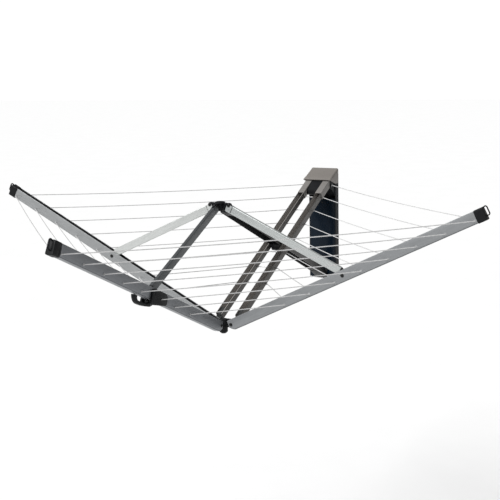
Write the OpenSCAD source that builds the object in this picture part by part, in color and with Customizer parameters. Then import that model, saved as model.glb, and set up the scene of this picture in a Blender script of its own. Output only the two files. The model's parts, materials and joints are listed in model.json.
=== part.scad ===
// Wall-mounted folding clothes airer with four umbrella arms.
// Millimetres, +Z up. The wall is the plane y = 0 and the airer reaches out along -Y.
// The origin is the centre of the four wall screws.

/* [Linkage] */
// Rise of the arms above level when the airer is open, degrees
open_angle = 26.6; // [22:0.2:30]
// Pivot-to-pivot length of each strut, and of each half of the rear scissor
strut_length = 460; // [430:1:490]
// Distance of the arm and strut pivots from the hub axis
pivot_radius = 36; // [34:1:40]
// Hub pin to the far edge of the hanger loop, along an arm
arm_reach = 978; // [950:1:1000]

/* [Arms] */
// Width of an arm channel
arm_width = 26; // [25:0.5:30]
// Wall thickness of an arm channel
arm_wall = 2.4; // [2:0.1:3]
// Height of an arm channel above its pivot line
arm_above = 17; // [15:1:19]
// Depth of an arm channel below its pivot line
arm_below = 22; // [20:1:24]
// Width of a strut
strut_width = 13; // [11:0.5:14]
// Height of a strut
strut_height = 26.5; // [24:0.5:27]

/* [Rear arm] */
// Centre-to-edge distance from the middle plane to each rear channel's axis
rear_offset = 38; // [38:0.5:40]
// Width of each rear channel
rear_width = 24; // [20:1:24]
// Depth of each rear channel
rear_depth = 27; // [24:1:29]
// Height by which the rear pivots sit below the other hub pivots
rear_drop = 5; // [0:1:8]
// Angle by which the rear channels lie flatter than their pivot line
rear_tilt = 1.2; // [0:0.1:1.5]
// Width of the scissor beam between the rear channels
beam_width = 48; // [40:1:48]
// Depth of the scissor beam
beam_depth = 26; // [22:1:28]

/* [Washing line] */
// Number of square loops of line
loop_count = 8; // [5:1:8]
// Diameter of the line
line_d = 3; // [2.5:0.1:3.2]
// Hub pin to the outermost hole, along an arm
outer_hole = 929.5; // [920:0.5:932]
// Hole spacing along an arm
hole_step = 100.9; // [98:0.1:101]
// Depth of the holes below the pivot line
hole_depth = 11.25; // [10:0.25:12]

/* [Wall bracket] */
// Width of the wall plate
plate_width = 120; // [118:1:126]
// Height of the wall plate
plate_height = 436; // [430:1:440]
// Depth of the wall plate and its cover
plate_depth = 32.5; // [30:0.5:33]
// Screw spacing across the plate
screw_x = 90; // [80:5:95]
// Screw spacing up the plate
screw_z = 360; // [340:10:380]
// Wall to hub axis when open
hub_reach = 905; // [900:1:915]
// Hub pivot height below the centre of the wall screws
hub_below = 205; // [200:1:210]

/* [Hidden] */
$fn = 48;

// Directions of the arms about the hub, degrees from +X
RIGHT = 0;
LEFT = 180;
FRONT = -90;
WALL = 90;

// Clearances: running for a joint that turns, fixed for a part that doesn't
run_gap = 0.05;
fix_gap = 0.02;
side_gap = 0.3;

// Linkage points
crown_rise = 2 * strut_length * sin(open_angle);
arm_half = arm_width / 2;
strut_half = strut_width / 2;
beam_half = beam_width / 2;
rear_in = rear_offset - rear_width / 2;
rear_out = rear_offset + rear_width / 2;
rear_half_depth = rear_depth / 2;
rear_wall = 2;
strut_wall = 1.5;

// The struts' tubes lie flatter than their pin lines, which they cross at this distance
strut_tilt = 2;
strut_level = 287;
strut_start = -6;
pin_r = 4;
pin_head_r = 6;
pin_head_t = 2;
axle_r = 5;
pivot_y = -hub_reach + pivot_radius + 2 * strut_length * cos(open_angle);
pivot_z = crown_rise - hub_below - rear_drop;

// Arms
arm_start = -10;
cap_start = 935;
cap_length = 30;
arm_end = cap_start - 0.3;
line_r = line_d / 2;
grommet_r = 3.2;
grommet_flange_r = 4.4;
grommet_flange_t = 0.8;
grommet_bore_r = line_r + 0.3;
loop_rod = 4;
loop_width = 6;

// Rear channels: the innermost hole and the spacing differ from the arms
rear_inner_hole = 224;
rear_hole_step = 95.5;
rear_hole_depth = 9.5;
rear_start = 12;
rear_end = 905;
socket_start = 792;
socket_half = 14.5;
anchor_y = -hub_reach + 841;
anchor_z = 376 - hub_below;

// Nose of the scissor beam's foot
foot_s = 917;
foot_v = -10;
foot_r = 13;

// Wall bracket
plate_low = -hub_below - 20;
plate_top = plate_low + plate_height;
plate_wall = 3.6;
screw_hole_r = 3.25;
cover_low = plate_low - 4;
cover_high = pivot_z - 90;
cover_skin = 2.2;
cover_corner = 12;
cover_screw_z = [cover_low + 55, cover_high - 18];
cheek_in = rear_out + 2;
cheek_out = cheek_in + 4;
bracket_back = -plate_wall - 0.2;
bracket_low = cover_high + 3;
hood_half = plate_width / 2;
hood_wall = 2.4;
hood_front = -87;
hood_back_z = 235;
hood_front_z = 198;
hood_lip = 4.4;
hood_low = 174;

// Front-arm latch
latch_start = 380;
latch_end = 476;
latch_outer = 21;
latch_web_v = -arm_below - 0.4;
latch_web = [latch_start + 23, latch_start + 44];
// The loop of line that runs through the latch housing, and the length of its slot there
latch_loop = 5;
latch_slot = [-6, 3];
handle_s = 452;
handle_v = -29;
handle_half = 7;
bolt_low = -18.9;
bolt_high = -14.2;
spring_from = 374;
spring_to = 397.6;
spring_turns = 5;
spring_steps = 14;
spring_r = 2.2;
wire_r = 0.5;

// Points of an arc, for outlines with round corners
function arc(cx, cy, r, from, to, n = 6) =
    [for (i = [0:n]) let (a = from + (to - from) * i / n) [cx + r * cos(a), cy + r * sin(a)]];

// Outline of a rectangle with round corners
function round_rect(x0, y0, x1, y1, r, n = 6) = concat(
    arc(x1 - r, y0 + r, r, -90, 0, n), arc(x1 - r, y1 - r, r, 0, 90, n),
    arc(x0 + r, y1 - r, r, 90, 180, n), arc(x0 + r, y0 + r, r, 180, 270, n));

// Distance of hole k from the hub pin; hole 0 is the outermost
function arm_hole(k) = outer_hole - k * hole_step;
function rear_hole(k) = rear_inner_hole + (loop_count - 1 - k) * rear_hole_step;

// Row-frame points where the line leaves an arm at height z and radius r
function arm_hole_r(k) = pivot_radius + arm_hole(k) * cos(open_angle)
    + hole_depth * sin(open_angle);
function arm_hole_z(k) = arm_hole(k) * sin(open_angle) - hole_depth * cos(open_angle)
    - hub_below;

// A point of the rear channels' own frame, in the row frame: distance s along, v above
rear_slope = open_angle - rear_tilt;
function rear_y(s, v) = -hub_reach + pivot_radius + strut_length * cos(open_angle)
    + (s - strut_length) * cos(rear_slope) - v * sin(rear_slope);
function rear_z(s, v) = strut_length * sin(open_angle) - hub_below - rear_drop
    + (s - strut_length) * sin(rear_slope) + v * cos(rear_slope);

// Frames
module hub_frame() {
    translate([0, -hub_reach, -hub_below]) children();
}

module arm_frame(turn, drop = 0) {
    hub_frame() translate([0, 0, -drop]) rotate([0, 0, turn])
        translate([pivot_radius, 0, 0]) rotate([0, -open_angle, 0]) children();
}

module strut_frame(turn, drop = 0) {
    hub_frame() translate([0, 0, crown_rise - drop]) rotate([0, 0, turn])
        translate([pivot_radius, 0, 0]) rotate([0, open_angle, 0]) children();
}

module strut_tilted(turn) {
    strut_frame(turn) translate([strut_level, 0, 0]) rotate([0, -strut_tilt, 0])
        translate([-strut_level, 0, 0]) children();
}

module rear_frame() {
    arm_frame(WALL, rear_drop) children();
}

module rear_tilted() {
    rear_frame() translate([strut_length, 0, 0]) rotate([0, rear_tilt, 0])
        translate([-strut_length, 0, 0]) children();
}

module beam_tilted() {
    strut_frame(WALL, rear_drop) translate([strut_length, 0, 0]) rotate([0, -rear_tilt, 0])
        translate([-strut_length, 0, 0]) children();
}

// Extrudes an outline drawn as (across, up) along the arm from s0 to s1
module along(s0, s1) {
    translate([s0, 0, 0]) rotate([90, 0, 90]) linear_extrude(s1 - s0) children();
}

// Extrudes an outline drawn as (along, up) across the arm from w0 to w1
module across(w0, w1) {
    translate([0, w1, 0]) rotate([90, 0, 0]) linear_extrude(w1 - w0) children();
}

// A round bar across the arm
module cross_bar(s, v, r, w0, w1) {
    translate([s, w1, v]) rotate([90, 0, 0]) cylinder(r = r, h = w1 - w0);
}

// Both signs of a mirrored pair
module both_sides() {
    for (side = [-1, 1]) scale([1, side, 1]) children();
}

// ---- Wall bracket ----

// A channel, open at its top and bottom; its side flanges end under the hood
module wall_plate() {
    color("dimgray") difference() {
        translate([-plate_width / 2, -plate_depth + 2, plate_low])
            cube([plate_width, plate_depth - 2, plate_height]);
        translate([-plate_width / 2 + plate_wall, -plate_depth, plate_low - 1])
            cube([plate_width - 2 * plate_wall, plate_depth - plate_wall, plate_height + 2]);
        translate([-plate_width / 2 - 1, -plate_depth, hood_low - 0.4])
            cube([plate_width + 2, plate_depth - plate_wall, plate_top - hood_low + 2]);
        for (x = [-1, 1], z = [-1, 1])
            translate([x * screw_x / 2, 1, z * screw_z / 2]) rotate([90, 0, 0])
                cylinder(r = screw_hole_r, h = plate_wall + 2);
    }
}

// A shell with round lower corners; the lower part sits in front of the wall plate's back
module wall_cover() {
    half = plate_width / 2 - plate_wall - 0.5;
    color("midnightblue") translate([0, -plate_depth, 0]) rotate([90, 0, 0]) mirror([0, 0, 1])
        difference() {
            linear_extrude(plate_depth - plate_wall - 1)
                polygon(cover_outline(half, cover_low, cover_high, cover_corner));
            translate([0, 0, cover_skin]) linear_extrude(plate_depth)
                polygon(cover_outline(half - cover_skin, cover_low + cover_skin,
                    cover_high - cover_skin, cover_corner - cover_skin));
            for (z = cover_screw_z) translate([0, z, -1]) cylinder(r = 2.1, h = 8);
        }
}

function cover_outline(half, low, high, corner) = concat(
    [[half, high], [-half, high]], arc(corner - half, low + corner, corner, 180, 270),
    arc(half - corner, low + corner, corner, 270, 360));

module top_hood() {
    inner = hood_half - hood_wall;
    back = -plate_wall - 0.3;
    color("gray") difference() {
        translate([-hood_half, 0, 0]) rotate([90, 0, 90]) linear_extrude(2 * hood_half)
            polygon([[0, hood_back_z], [hood_front, hood_front_z],
                [hood_front, hood_front_z - hood_lip], [-plate_depth, hood_low],
                [back, hood_low], [back, plate_top + 0.3], [0, plate_top + 0.3]]);
        translate([-inner, 0, 0]) rotate([90, 0, 90]) linear_extrude(2 * inner)
            polygon([[1, hood_back_z - hood_wall], [0, hood_back_z - hood_wall],
                [hood_front + hood_wall, hood_front_z - hood_wall],
                [hood_front + hood_wall, hood_front_z - 20], [-plate_depth, hood_low - 14],
                [1, hood_low - 14]]);
    }
}

// Height just under the hood's sloping top
function under_hood(y) = hood_back_z - hood_wall - 0.6
    + y * (hood_back_z - hood_front_z) / (-hood_front - hood_wall);

// Outline of a bracket cheek, drawn as (y, z)
module cheek_outline() {
    nose = anchor_y - 2;
    polygon([[bracket_back, bracket_low], [bracket_back, under_hood(bracket_back)],
        [nose, under_hood(nose)], [nose - 6.4, under_hood(nose) - 8],
        [anchor_y - 8, anchor_z - 12], [anchor_y + 2, anchor_z - 18]]);
}

// Two cheeks joined by a back web, which the upper wall screws pass through
module pivot_bracket() {
    web = 1.6;
    color("dimgray") difference() {
        translate([-cheek_out, 0, 0]) rotate([90, 0, 90]) linear_extrude(2 * cheek_out)
            cheek_outline();
        translate([-cheek_in, -100, bracket_low - 1])
            cube([2 * cheek_in, 100 + bracket_back - web, hood_back_z + 2 - bracket_low]);
        translate([-hood_half, pivot_y, pivot_z]) rotate([0, 90, 0])
            cylinder(r = axle_r + fix_gap, h = 2 * hood_half);
        for (side = [-1, 1]) translate([side * cheek_in - 8, anchor_y, anchor_z])
            rotate([0, 90, 0]) cylinder(r = line_r + 0.5, h = 16);
        for (x = [-1, 1]) translate([x * screw_x / 2, 1, screw_z / 2]) rotate([90, 0, 0])
            cylinder(r = 7, h = 12);
    }
}

module pivot_axle() {
    color("silver") translate([-cheek_out - 1, pivot_y, pivot_z]) rotate([0, 90, 0])
        cylinder(r = axle_r, h = 2 * cheek_out + 2);
}

// A grooved rubber strip that the scissor beam's foot bears on
module lower_bumper() {
    color("black") translate([-20, -plate_depth - 1.6, cover_low + 14])
        difference() {
            cube([40, 1.6, 26]);
            for (z = [6, 12, 18]) translate([-1, -1, z]) cube([42, 1.6, 2]);
        }
}

module cover_screws() {
    head = 0.9;
    color("black") for (z = cover_screw_z)
        translate([0, -plate_depth - head, z]) rotate([-90, 0, 0]) {
            difference() {
                cylinder(r = 3.4, h = head);
                translate([0, 0, -1]) cylinder(r = 1.5, h = 1.5, $fn = 6);
            }
            translate([0, 0, head]) cylinder(r = 2.08, h = plate_depth - plate_wall - 0.1);
        }
}

module line_anchors() {
    color("gainsboro") for (side = [-1, 1])
        translate([side * (cheek_out + 0.05), anchor_y, anchor_z]) rotate([0, side * 90, 0])
            difference() {
                cylinder(r = 4.2, h = 1.2);
                translate([0, 0, -1]) cylinder(r = line_r + 0.3, h = 4);
            }
}

// ---- Rear arm: two channels, sockets and the scissor axle ----

module rear_section() {
    half = rear_width / 2;
    inner = half - rear_wall;
    low = -rear_half_depth;
    polygon(concat([[half, rear_half_depth], [inner, rear_half_depth]],
        arc(inner - 2, low + rear_wall + 2, 2, 0, -90, 4),
        arc(-inner + 2, low + rear_wall + 2, 2, 270, 180, 4),
        [[-inner, rear_half_depth], [-half, rear_half_depth]],
        arc(-half + 4, low + 4, 4, 180, 270, 5), arc(half - 4, low + 4, 4, 270, 360, 5)));
}

module rear_channel(side) {
    color("dimgray") difference() {
        rear_tilted() difference() {
            translate([0, -side * rear_offset, 0]) along(rear_start, rear_end) rear_section();
            for (k = [1:loop_count - 1])
                cross_bar(rear_hole(k), -rear_hole_depth, grommet_r + fix_gap, -60, 60);
        }
        rear_frame() cross_bar(strut_length, 0, axle_r + fix_gap, -60, 60);
    }
}

module socket(side) {
    w = rear_width / 2 + 1.6;
    pocket = rear_width / 2 + 0.1;
    deep = rear_half_depth + 0.1;
    eye_half = rear_width / 2 + 1.2;
    color("darkgray") difference() {
        union() {
            rear_tilted() translate([0, -side * rear_offset, 0]) along(socket_start, rear_end + 2)
                polygon(round_rect(-w, -socket_half - 0.6, w, socket_half, 1.5, 3));
            rear_frame() cross_bar(2 * strut_length, 0, 9, -side * rear_offset - eye_half,
                -side * rear_offset + eye_half);
            rear_frame() translate([0, -side * rear_offset, 0]) across(-eye_half, eye_half)
                polygon([[890, -14], [2 * strut_length, -9], [2 * strut_length, 8.9], [890, 7]]);
        }
        rear_tilted() translate([0, -side * rear_offset, 0])
            along(socket_start - 1, rear_end + 0.2)
            polygon(concat([[pocket, deep], [-pocket, deep]],
                arc(3.9 - pocket, 3.9 - deep, 3.9, 180, 270, 5),
                arc(pocket - 3.9, 3.9 - deep, 3.9, 270, 360, 5)));
        rear_tilted() cross_bar(rear_hole(1), -rear_hole_depth, grommet_flange_r + 0.4, -60, 60);
        rear_frame() cross_bar(2 * strut_length, 0, axle_r + run_gap, -60, 60);
    }
}

// Spacer between the two sockets
module socket_block() {
    half = rear_in - 2;
    far = 2 * strut_length;
    color("black") rear_frame() difference() {
        across(-half, half) polygon(concat(arc(far, 0, 9, -100, 100, 10),
            [[far - 98, 0]], arc(far - 94, -14, 10, 150, 250), [[far - 14, -25]]));
        cross_bar(far, 0, axle_r + run_gap, -60, 60);
    }
}

module scissor_axle() {
    color("silver") rear_frame()
        cross_bar(strut_length, 0, axle_r, -rear_out - 2.5, rear_out + 2.5);
}

module scissor_caps() {
    color("black") rear_frame() both_sides() {
        difference() {
            cross_bar(strut_length, 0, 8.5, rear_out + 0.05, rear_out + 4);
            cross_bar(strut_length, 0, axle_r + fix_gap, rear_out - 1, rear_out + 2.6);
        }
        difference() {
            cross_bar(strut_length, 0, 9, beam_half + side_gap, rear_in - 0.1);
            cross_bar(strut_length, 0, axle_r + fix_gap, beam_half - 1, rear_in + 1);
        }
    }
}

module rear_end_fittings() {
    half = rear_width / 2;
    plug = half - rear_wall - 0.1;
    color("dimgray") for (side = [-1, 1]) difference() {
        union() {
            rear_frame() cross_bar(0, 0, 11, side * rear_offset - half, side * rear_offset + half);
            rear_tilted() translate([0, side * rear_offset, 0]) {
                along(-4, rear_start - 0.2) polygon(round_rect(-half, -10, half, 4, 2, 3));
                along(rear_start - 0.3, 52) polygon(round_rect(-plug, -rear_half_depth
                    + rear_wall + 0.1, plug, 8, 2.1, 3));
            }
        }
        rear_frame() cross_bar(0, 0, pin_r + run_gap, -60, 60);
    }
}

module rear_hub_pin() {
    color("silver") rear_frame() {
        cross_bar(0, 0, pin_r, -rear_out - 1, rear_out + 1);
        both_sides() cross_bar(0, 0, pin_head_r, rear_out + side_gap,
            rear_out + side_gap + pin_head_t);
    }
}

module grommet(w, out) {
    t0 = out > 0 ? w : w - grommet_flange_t;
    difference() {
        union() {
            cross_bar(0, 0, grommet_r, w - 2.2 * (out > 0 ? 1 : 0), w + 2.2 * (out > 0 ? 0 : 1));
            cross_bar(0, 0, grommet_flange_r, t0, t0 + grommet_flange_t);
        }
        cross_bar(0, 0, grommet_bore_r, w - 5, w + 5);
    }
}

module rear_grommets() {
    color("gainsboro") rear_tilted() for (k = [1:loop_count - 1], side = [-1, 1])
        translate([rear_hole(k), 0, -rear_hole_depth]) {
            grommet(side * rear_out, side);
            grommet(side * rear_in, -side);
        }
}

// ---- Scissor beam ----

module scissor_beam() {
    half = beam_half;
    inner = half - 2.4;
    h = beam_depth / 2;
    color("gray") difference() {
        beam_tilted() along(18, 850) polygon(concat([[inner, -h], [half, -h]],
            arc(half - 3, h - 3, 3, 0, 90, 4), arc(-half + 3, h - 3, 3, 90, 180, 4),
            [[-half, -h], [-inner, -h]],
            arc(-inner + 1, h - 3.4, 1, 180, 90, 3), arc(inner - 1, h - 3.4, 1, 90, 0, 3)));
        strut_frame(WALL, rear_drop) cross_bar(strut_length, 0, axle_r + 0.4, -60, 60);
    }
}

module beam_head() {
    inner = beam_half - 2.6;
    h = beam_depth / 2;
    color("black") difference() {
        union() {
            beam_tilted() {
                along(18.2, 60) polygon(round_rect(-inner, -h + 1, inner, h - 2.6, 2, 3));
                across(-13, -5) polygon([[-2, -10], [40, -h + 2], [40, h - 4], [-2, 1]]);
                across(5, 13) polygon([[-2, -10], [40, -h + 2], [40, h - 4], [-2, 1]]);
            }
            strut_frame(WALL, rear_drop) {
                cross_bar(0, 0, 9, -13, -5);
                cross_bar(0, 0, 9, 5, 13);
            }
        }
        strut_frame(WALL, rear_drop) cross_bar(0, 0, pin_r + run_gap, -60, 60);
        strut_frame(WALL, rear_drop) cross_bar(0, 0, 13.5, -5, 5);
    }
}

module scissor_bush() {
    inner = beam_half - 2.6;
    h = beam_depth / 2;
    color("black") difference() {
        beam_tilted() across(-inner, inner) polygon(concat(
            [[strut_length - 26, h - 2.6], [strut_length - 26, -h]],
            arc(strut_length - 2, -h - 6, 10, 200, 340), [[strut_length + 26, -h],
            [strut_length + 26, h - 2.6]]));
        strut_frame(WALL, rear_drop) cross_bar(strut_length, 0, axle_r + run_gap, -60, 60);
    }
}

module beam_foot() {
    inner = beam_half - 2.6;
    h = beam_depth / 2;
    color("black") beam_tilted() {
        along(800, 850.2) polygon(round_rect(-inner, -h + 1, inner, h - 2.6, 2, 3));
        across(-beam_half, beam_half) polygon(concat([[850.2, -h], [872, -h - 3]],
            arc(foot_s, foot_v, foot_r, -70, 70), [[850.2, h]]));
    }
}

// Rubber strip on the foot's nose
module foot_pad() {
    color("black") beam_tilted() across(-16, 16)
        polygon(concat(arc(foot_s, foot_v, foot_r + 1.6, -40, 60),
            arc(foot_s, foot_v, foot_r + 0.3, 60, -40)));
}

// ---- Hub and crown ----

module hub_tongue(reach) {
    across(-7, 7)
        polygon(concat([[10, -16]], arc(reach, 0, 9, -90, 90), [[10, 10]]));
}

module hub_body() {
    block_half = rear_in - 0.5;
    color("black") hub_frame() difference() {
        union() {
            translate([0, 0, -30]) cylinder(r = 15, h = 44);
            translate([0, 0, -36]) cylinder(r1 = 10, r2 = 15, h = 6);
            for (turn = [RIGHT, LEFT, FRONT]) rotate([0, 0, turn]) hub_tongue(pivot_radius);
            rotate([0, 0, WALL]) across(-block_half, block_half)
                polygon(concat([[16.5, -rear_drop - 11]], arc(pivot_radius, -rear_drop, 11, -90, 90),
                    [[16.5, -rear_drop + 11]]));
            rotate([0, 0, WALL]) across(-12, 12) polygon([[6, -14], [17, -14], [17, 8], [6, 8]]);
        }
        for (turn = [RIGHT, LEFT, FRONT]) rotate([0, 0, turn])
            cross_bar(pivot_radius, 0, pin_r + fix_gap, -12, 12);
        rotate([0, 0, WALL]) cross_bar(pivot_radius, -rear_drop, pin_r + run_gap, -60, 60);
    }
}

module hub_pins() {
    end = arm_half + side_gap;
    color("black") hub_frame() for (turn = [RIGHT, LEFT, FRONT]) rotate([0, 0, turn]) {
        cross_bar(pivot_radius, 0, pin_r, -end - 0.5, end + 0.5);
        both_sides() cross_bar(pivot_radius, 0, pin_head_r, end, end + pin_head_t);
    }
}

module crown_body() {
    color("black") hub_frame() translate([0, 0, crown_rise]) difference() {
        union() {
            translate([0, 0, -20]) cylinder(r = 12, h = 26);
            translate([0, 0, 6]) cylinder(r = 18, h = 3);
            translate([0, 0, 9]) cylinder(r1 = 18, r2 = 12, h = 3);
            for (turn = [RIGHT, LEFT, FRONT]) rotate([0, 0, turn]) across(-4, 4)
                polygon(concat([[6, -12]], arc(pivot_radius, 0, 8, -90, 90), [[6, 7]]));
            rotate([0, 0, WALL]) across(-4.7, 4.7)
                polygon(concat([[6, -18]], arc(pivot_radius, -rear_drop, 8, -90, 90), [[6, 6]]));
        }
        for (turn = [RIGHT, LEFT, FRONT]) rotate([0, 0, turn])
            cross_bar(pivot_radius, 0, pin_r + fix_gap, -12, 12);
        rotate([0, 0, WALL]) cross_bar(pivot_radius, -rear_drop, pin_r + fix_gap, -12, 12);
    }
}

module crown_pins() {
    end = strut_half + side_gap;
    rear_pin = 13 + side_gap;
    color("silver") hub_frame() translate([0, 0, crown_rise]) {
        for (turn = [RIGHT, LEFT, FRONT]) rotate([0, 0, turn]) {
            cross_bar(pivot_radius, 0, pin_r, -end - 0.5, end + 0.5);
            both_sides() cross_bar(pivot_radius, 0, pin_head_r, end, end + 1.6);
        }
        rotate([0, 0, WALL]) {
            cross_bar(pivot_radius, -rear_drop, pin_r, -rear_pin - 0.5, rear_pin + 0.5);
            both_sides() cross_bar(pivot_radius, -rear_drop, pin_head_r, rear_pin, rear_pin + 1.6);
        }
    }
}

// ---- Arms ----

module arm_section() {
    rim = arm_half - 2.6;
    lip = rim - 1.8;
    inner = arm_half - arm_wall;
    low = -arm_below;
    polygon(concat([[rim, arm_above], [lip, arm_above], [inner - 0.4, 1], [inner, -6]],
        arc(inner - 3, low + arm_wall + 3, 3, 0, -90, 4),
        arc(-inner + 3, low + arm_wall + 3, 3, 270, 180, 4),
        [[-inner, -6], [-inner + 0.4, 1], [-lip, arm_above], [-rim, arm_above],
            [-arm_half + 0.2, 2], [-arm_half, -5]],
        arc(-arm_half + 6, low + 6, 6, 180, 270, 6), arc(arm_half - 6, low + 6, 6, 270, 360, 6),
        [[arm_half, -5], [arm_half - 0.2, 2]]));
}

module arm_channel(turn) {
    latched = turn == FRONT;
    color("gray") arm_frame(turn) difference() {
        along(arm_start, arm_end) arm_section();
        for (k = [0:loop_count - 1])
            cross_bar(arm_hole(k), -hole_depth, grommet_r + fix_gap, -20, 20);
        cross_bar(0, 0, pin_r + run_gap, -20, 20);
        cross_bar(strut_length, 0, pin_r + fix_gap, -20, 20);
        across(-20, 20) polygon([[arm_start - 1, -arm_below - 1], [8, -arm_below - 1],
            [arm_start - 1, -arm_below + 12]]);
        if (latched) translate([434, -4, -30]) cube([15, 8, 12]);
    }
}

module end_cap(turn) {
    s0 = cap_start;
    s1 = cap_start + cap_length;
    loop_out = arm_reach;
    inner = arm_half - arm_wall - 1;
    color("black") arm_frame(turn) {
        along(s0, s1) polygon(concat(round_rect(-arm_half - 0.8, -arm_below - 1.5,
            arm_half + 0.8, arm_above + 1.2, 4, 4)));
        difference() {
            across(-loop_width / 2, loop_width / 2) polygon(concat([[s1 - 2, -13]],
                arc(loop_out - 6, -7, 6, -70, 0, 4), arc(loop_out - 8, 13, 8, 0, 80, 5),
                [[s1 - 2, 14]]));
            across(-loop_width, loop_width)
                polygon(round_rect(s1 + 1, -9, loop_out - loop_rod, 14.5, 2.5, 4));
        }
        for (side = [-1, 1]) translate([s0 - 24, side > 0 ? inner - 2.5 : -inner, -8.5])
            cube([24.5, 2.5, 10.5]);
    }
}

module arm_grommets(turn) {
    color("gainsboro") arm_frame(turn) for (k = [0:loop_count - 1], side = [-1, 1])
        translate([arm_hole(k), 0, -hole_depth]) grommet(side * arm_half, side);
}

module foot_pin(turn) {
    end = arm_half + 0.2;
    color("silver") arm_frame(turn) {
        cross_bar(strut_length, 0, pin_r, -end, end);
        if (turn != FRONT) both_sides() cross_bar(strut_length, 0, pin_head_r, end, end + 1.6);
    }
}

// ---- Struts ----

// A tube whose side walls run on past the crown pin as a fork
module strut_bar(turn) {
    h = strut_height / 2;
    inner = strut_half - strut_wall;
    color("silver") difference() {
        union() {
            strut_tilted(turn) along(strut_start, strut_length - 16)
                polygon(round_rect(-strut_half, -h, strut_half, h, 2, 3));
            strut_frame(turn) cross_bar(0, 0, 8.5, -strut_half, strut_half);
        }
        strut_tilted(turn) along(strut_start - 10, strut_length)
            polygon(round_rect(-inner, -h + strut_wall, inner, h - strut_wall, 1, 2));
        strut_frame(turn) translate([-20, -inner, -40]) cube([34, 2 * inner, 80]);
        strut_frame(turn) cross_bar(0, 0, pin_r + run_gap, -20, 20);
    }
}

// A plug behind the fork, and the fitting that turns on the arm's pin
module strut_ends(turn) {
    h = strut_height / 2;
    plug = strut_half - strut_wall - 0.1;
    plug_h = h - strut_wall - 0.1;
    tube_end = strut_length - 15.8;
    end_v = (tube_end - strut_level) * tan(strut_tilt);
    foot_half = 8.2;
    color("dimgray") {
        strut_tilted(turn) along(15, 40) polygon(round_rect(-plug, -plug_h, plug, plug_h, 1, 2));
        difference() {
            union() {
                strut_frame(turn) {
                    cross_bar(strut_length, 0, 8.5, -foot_half, foot_half);
                    across(-strut_half, strut_half) polygon([[tube_end + 0.6, end_v - h + 1],
                        [strut_length - 3, -8], [strut_length, -8], [strut_length, 8],
                        [strut_length - 6, end_v + h - 4], [tube_end, end_v + h - 0.5]]);
                }
                strut_tilted(turn) along(strut_length - 40, tube_end + 1)
                    polygon(round_rect(-plug, -plug_h, plug, plug_h, 1, 2));
            }
            strut_frame(turn) cross_bar(strut_length, 0, pin_r + run_gap, -20, 20);
        }
    }
}

// ---- Latch on the front arm ----

module housing_side(w0, w1) {
    across(w0, w1) difference() {
        polygon(concat(arc(latch_start + 17, -12, 12, 180, 250),
            arc(latch_end - 10, -27, 10, -110, 0), arc(latch_end - 12, 2, 12, 0, 90),
            arc(latch_start + 25, -6, 20, 90, 155)));
        for (shift = [0, 0.5, 1]) translate([arm_hole(latch_loop), -hole_depth] + shift * latch_slot)
            circle(r = grommet_flange_r + 1);
    }
}

module latch_housing() {
    wall_in = arm_half + 0.4;
    color("black") arm_frame(FRONT) difference() {
        union() {
            housing_side(wall_in, latch_outer);
            housing_side(-latch_outer, -wall_in);
            across(-wall_in - 0.5, wall_in + 0.5)
                polygon([[latch_web[0], latch_web_v], [latch_web[1], latch_web_v],
                    [latch_web[1], latch_web_v - 3], [latch_web[0], latch_web_v - 3]]);
        }
        cross_bar(strut_length, 0, pin_r + 0.4, -16, 16);
        cross_bar(handle_s, handle_v, 3 + fix_gap, -18, 18);
    }
}

module handle_pin() {
    color("silver") arm_frame(FRONT) cross_bar(handle_s, handle_v, 3, -17.5, 17.5);
}

// A finger loop under the arm; the lower corner of its hub pushes the bolt's lug
module release_handle() {
    loop_s = handle_s + 68;
    color("black") arm_frame(FRONT) difference() {
        across(-handle_half, handle_half)
            polygon(concat(arc(handle_s, handle_v, 6.2, 90, 180), [[handle_s - 6.2, -34.8]],
                arc(loop_s, 250, 298.5, 257.4, 270, 8), arc(loop_s, -17.5, 31, -90, -14, 8),
                [[loop_s + 14, -25]], arc(loop_s + 2, -26, 12, 0, -90, 6),
                [[loop_s - 22, -37.6]], arc(loop_s - 47, -31, 3, -100, -180, 4),
                [[loop_s - 50, -25.6], [loop_s - 52, -24.8], [handle_s + 5, -24.6]]));
        cross_bar(handle_s, handle_v, 3 + run_gap, -20, 20);
    }
}

module latch_bolt() {
    lug_low = -35.5;
    color("silver") arm_frame(FRONT) {
        translate([398, -6, bolt_low]) cube([56, 12, bolt_high - bolt_low]);
        translate([handle_s - 12.4, -3, lug_low]) cube([6, 6, bolt_low - lug_low + 1]);
    }
}

// A coil spring as one swept tube
function coil_point(i, j) =
    let (a = 360 * i / spring_steps, b = 90 * j, n = spring_turns * spring_steps)
    [spring_from + wire_r + (spring_to - spring_from - 2 * wire_r) * i / n
        + wire_r * sin(b),
        (spring_r + wire_r * cos(b)) * cos(a), (spring_r + wire_r * cos(b)) * sin(a)];

module latch_spring() {
    n = spring_turns * spring_steps;
    color("silver") arm_frame(FRONT) translate([0, 0, (bolt_low + bolt_high) / 2])
        polyhedron(points = [for (i = [0:n], j = [0:3]) coil_point(i, j)],
            faces = concat([[0, 1, 2, 3]], [[4 * n + 3, 4 * n + 2, 4 * n + 1, 4 * n]],
                [for (i = [0:n - 1], j = [0:3]) [4 * i + j, 4 * i + 4 + j, 4 * i + 4 + (j + 1) % 4]],
                [for (i = [0:n - 1], j = [0:3]) [4 * i + j, 4 * i + 4 + (j + 1) % 4,
                    4 * i + (j + 1) % 4]]));
}

// ---- Washing line ----

// A straight piece of line between two points
module line_piece(a, b) {
    d = b - a;
    length = norm(d);
    translate(a) rotate([0, acos(d[2] / length), atan2(d[1], d[0])])
        cylinder(r = line_r, h = length, $fn = 16);
}

// Crossings inside the arms and rear channels
module arm_line(turn) {
    color("white") arm_frame(turn) for (k = [0:loop_count - 1])
        cross_bar(arm_hole(k), -hole_depth, line_r, -arm_half - grommet_flange_t,
            arm_half + grommet_flange_t);
}

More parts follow.
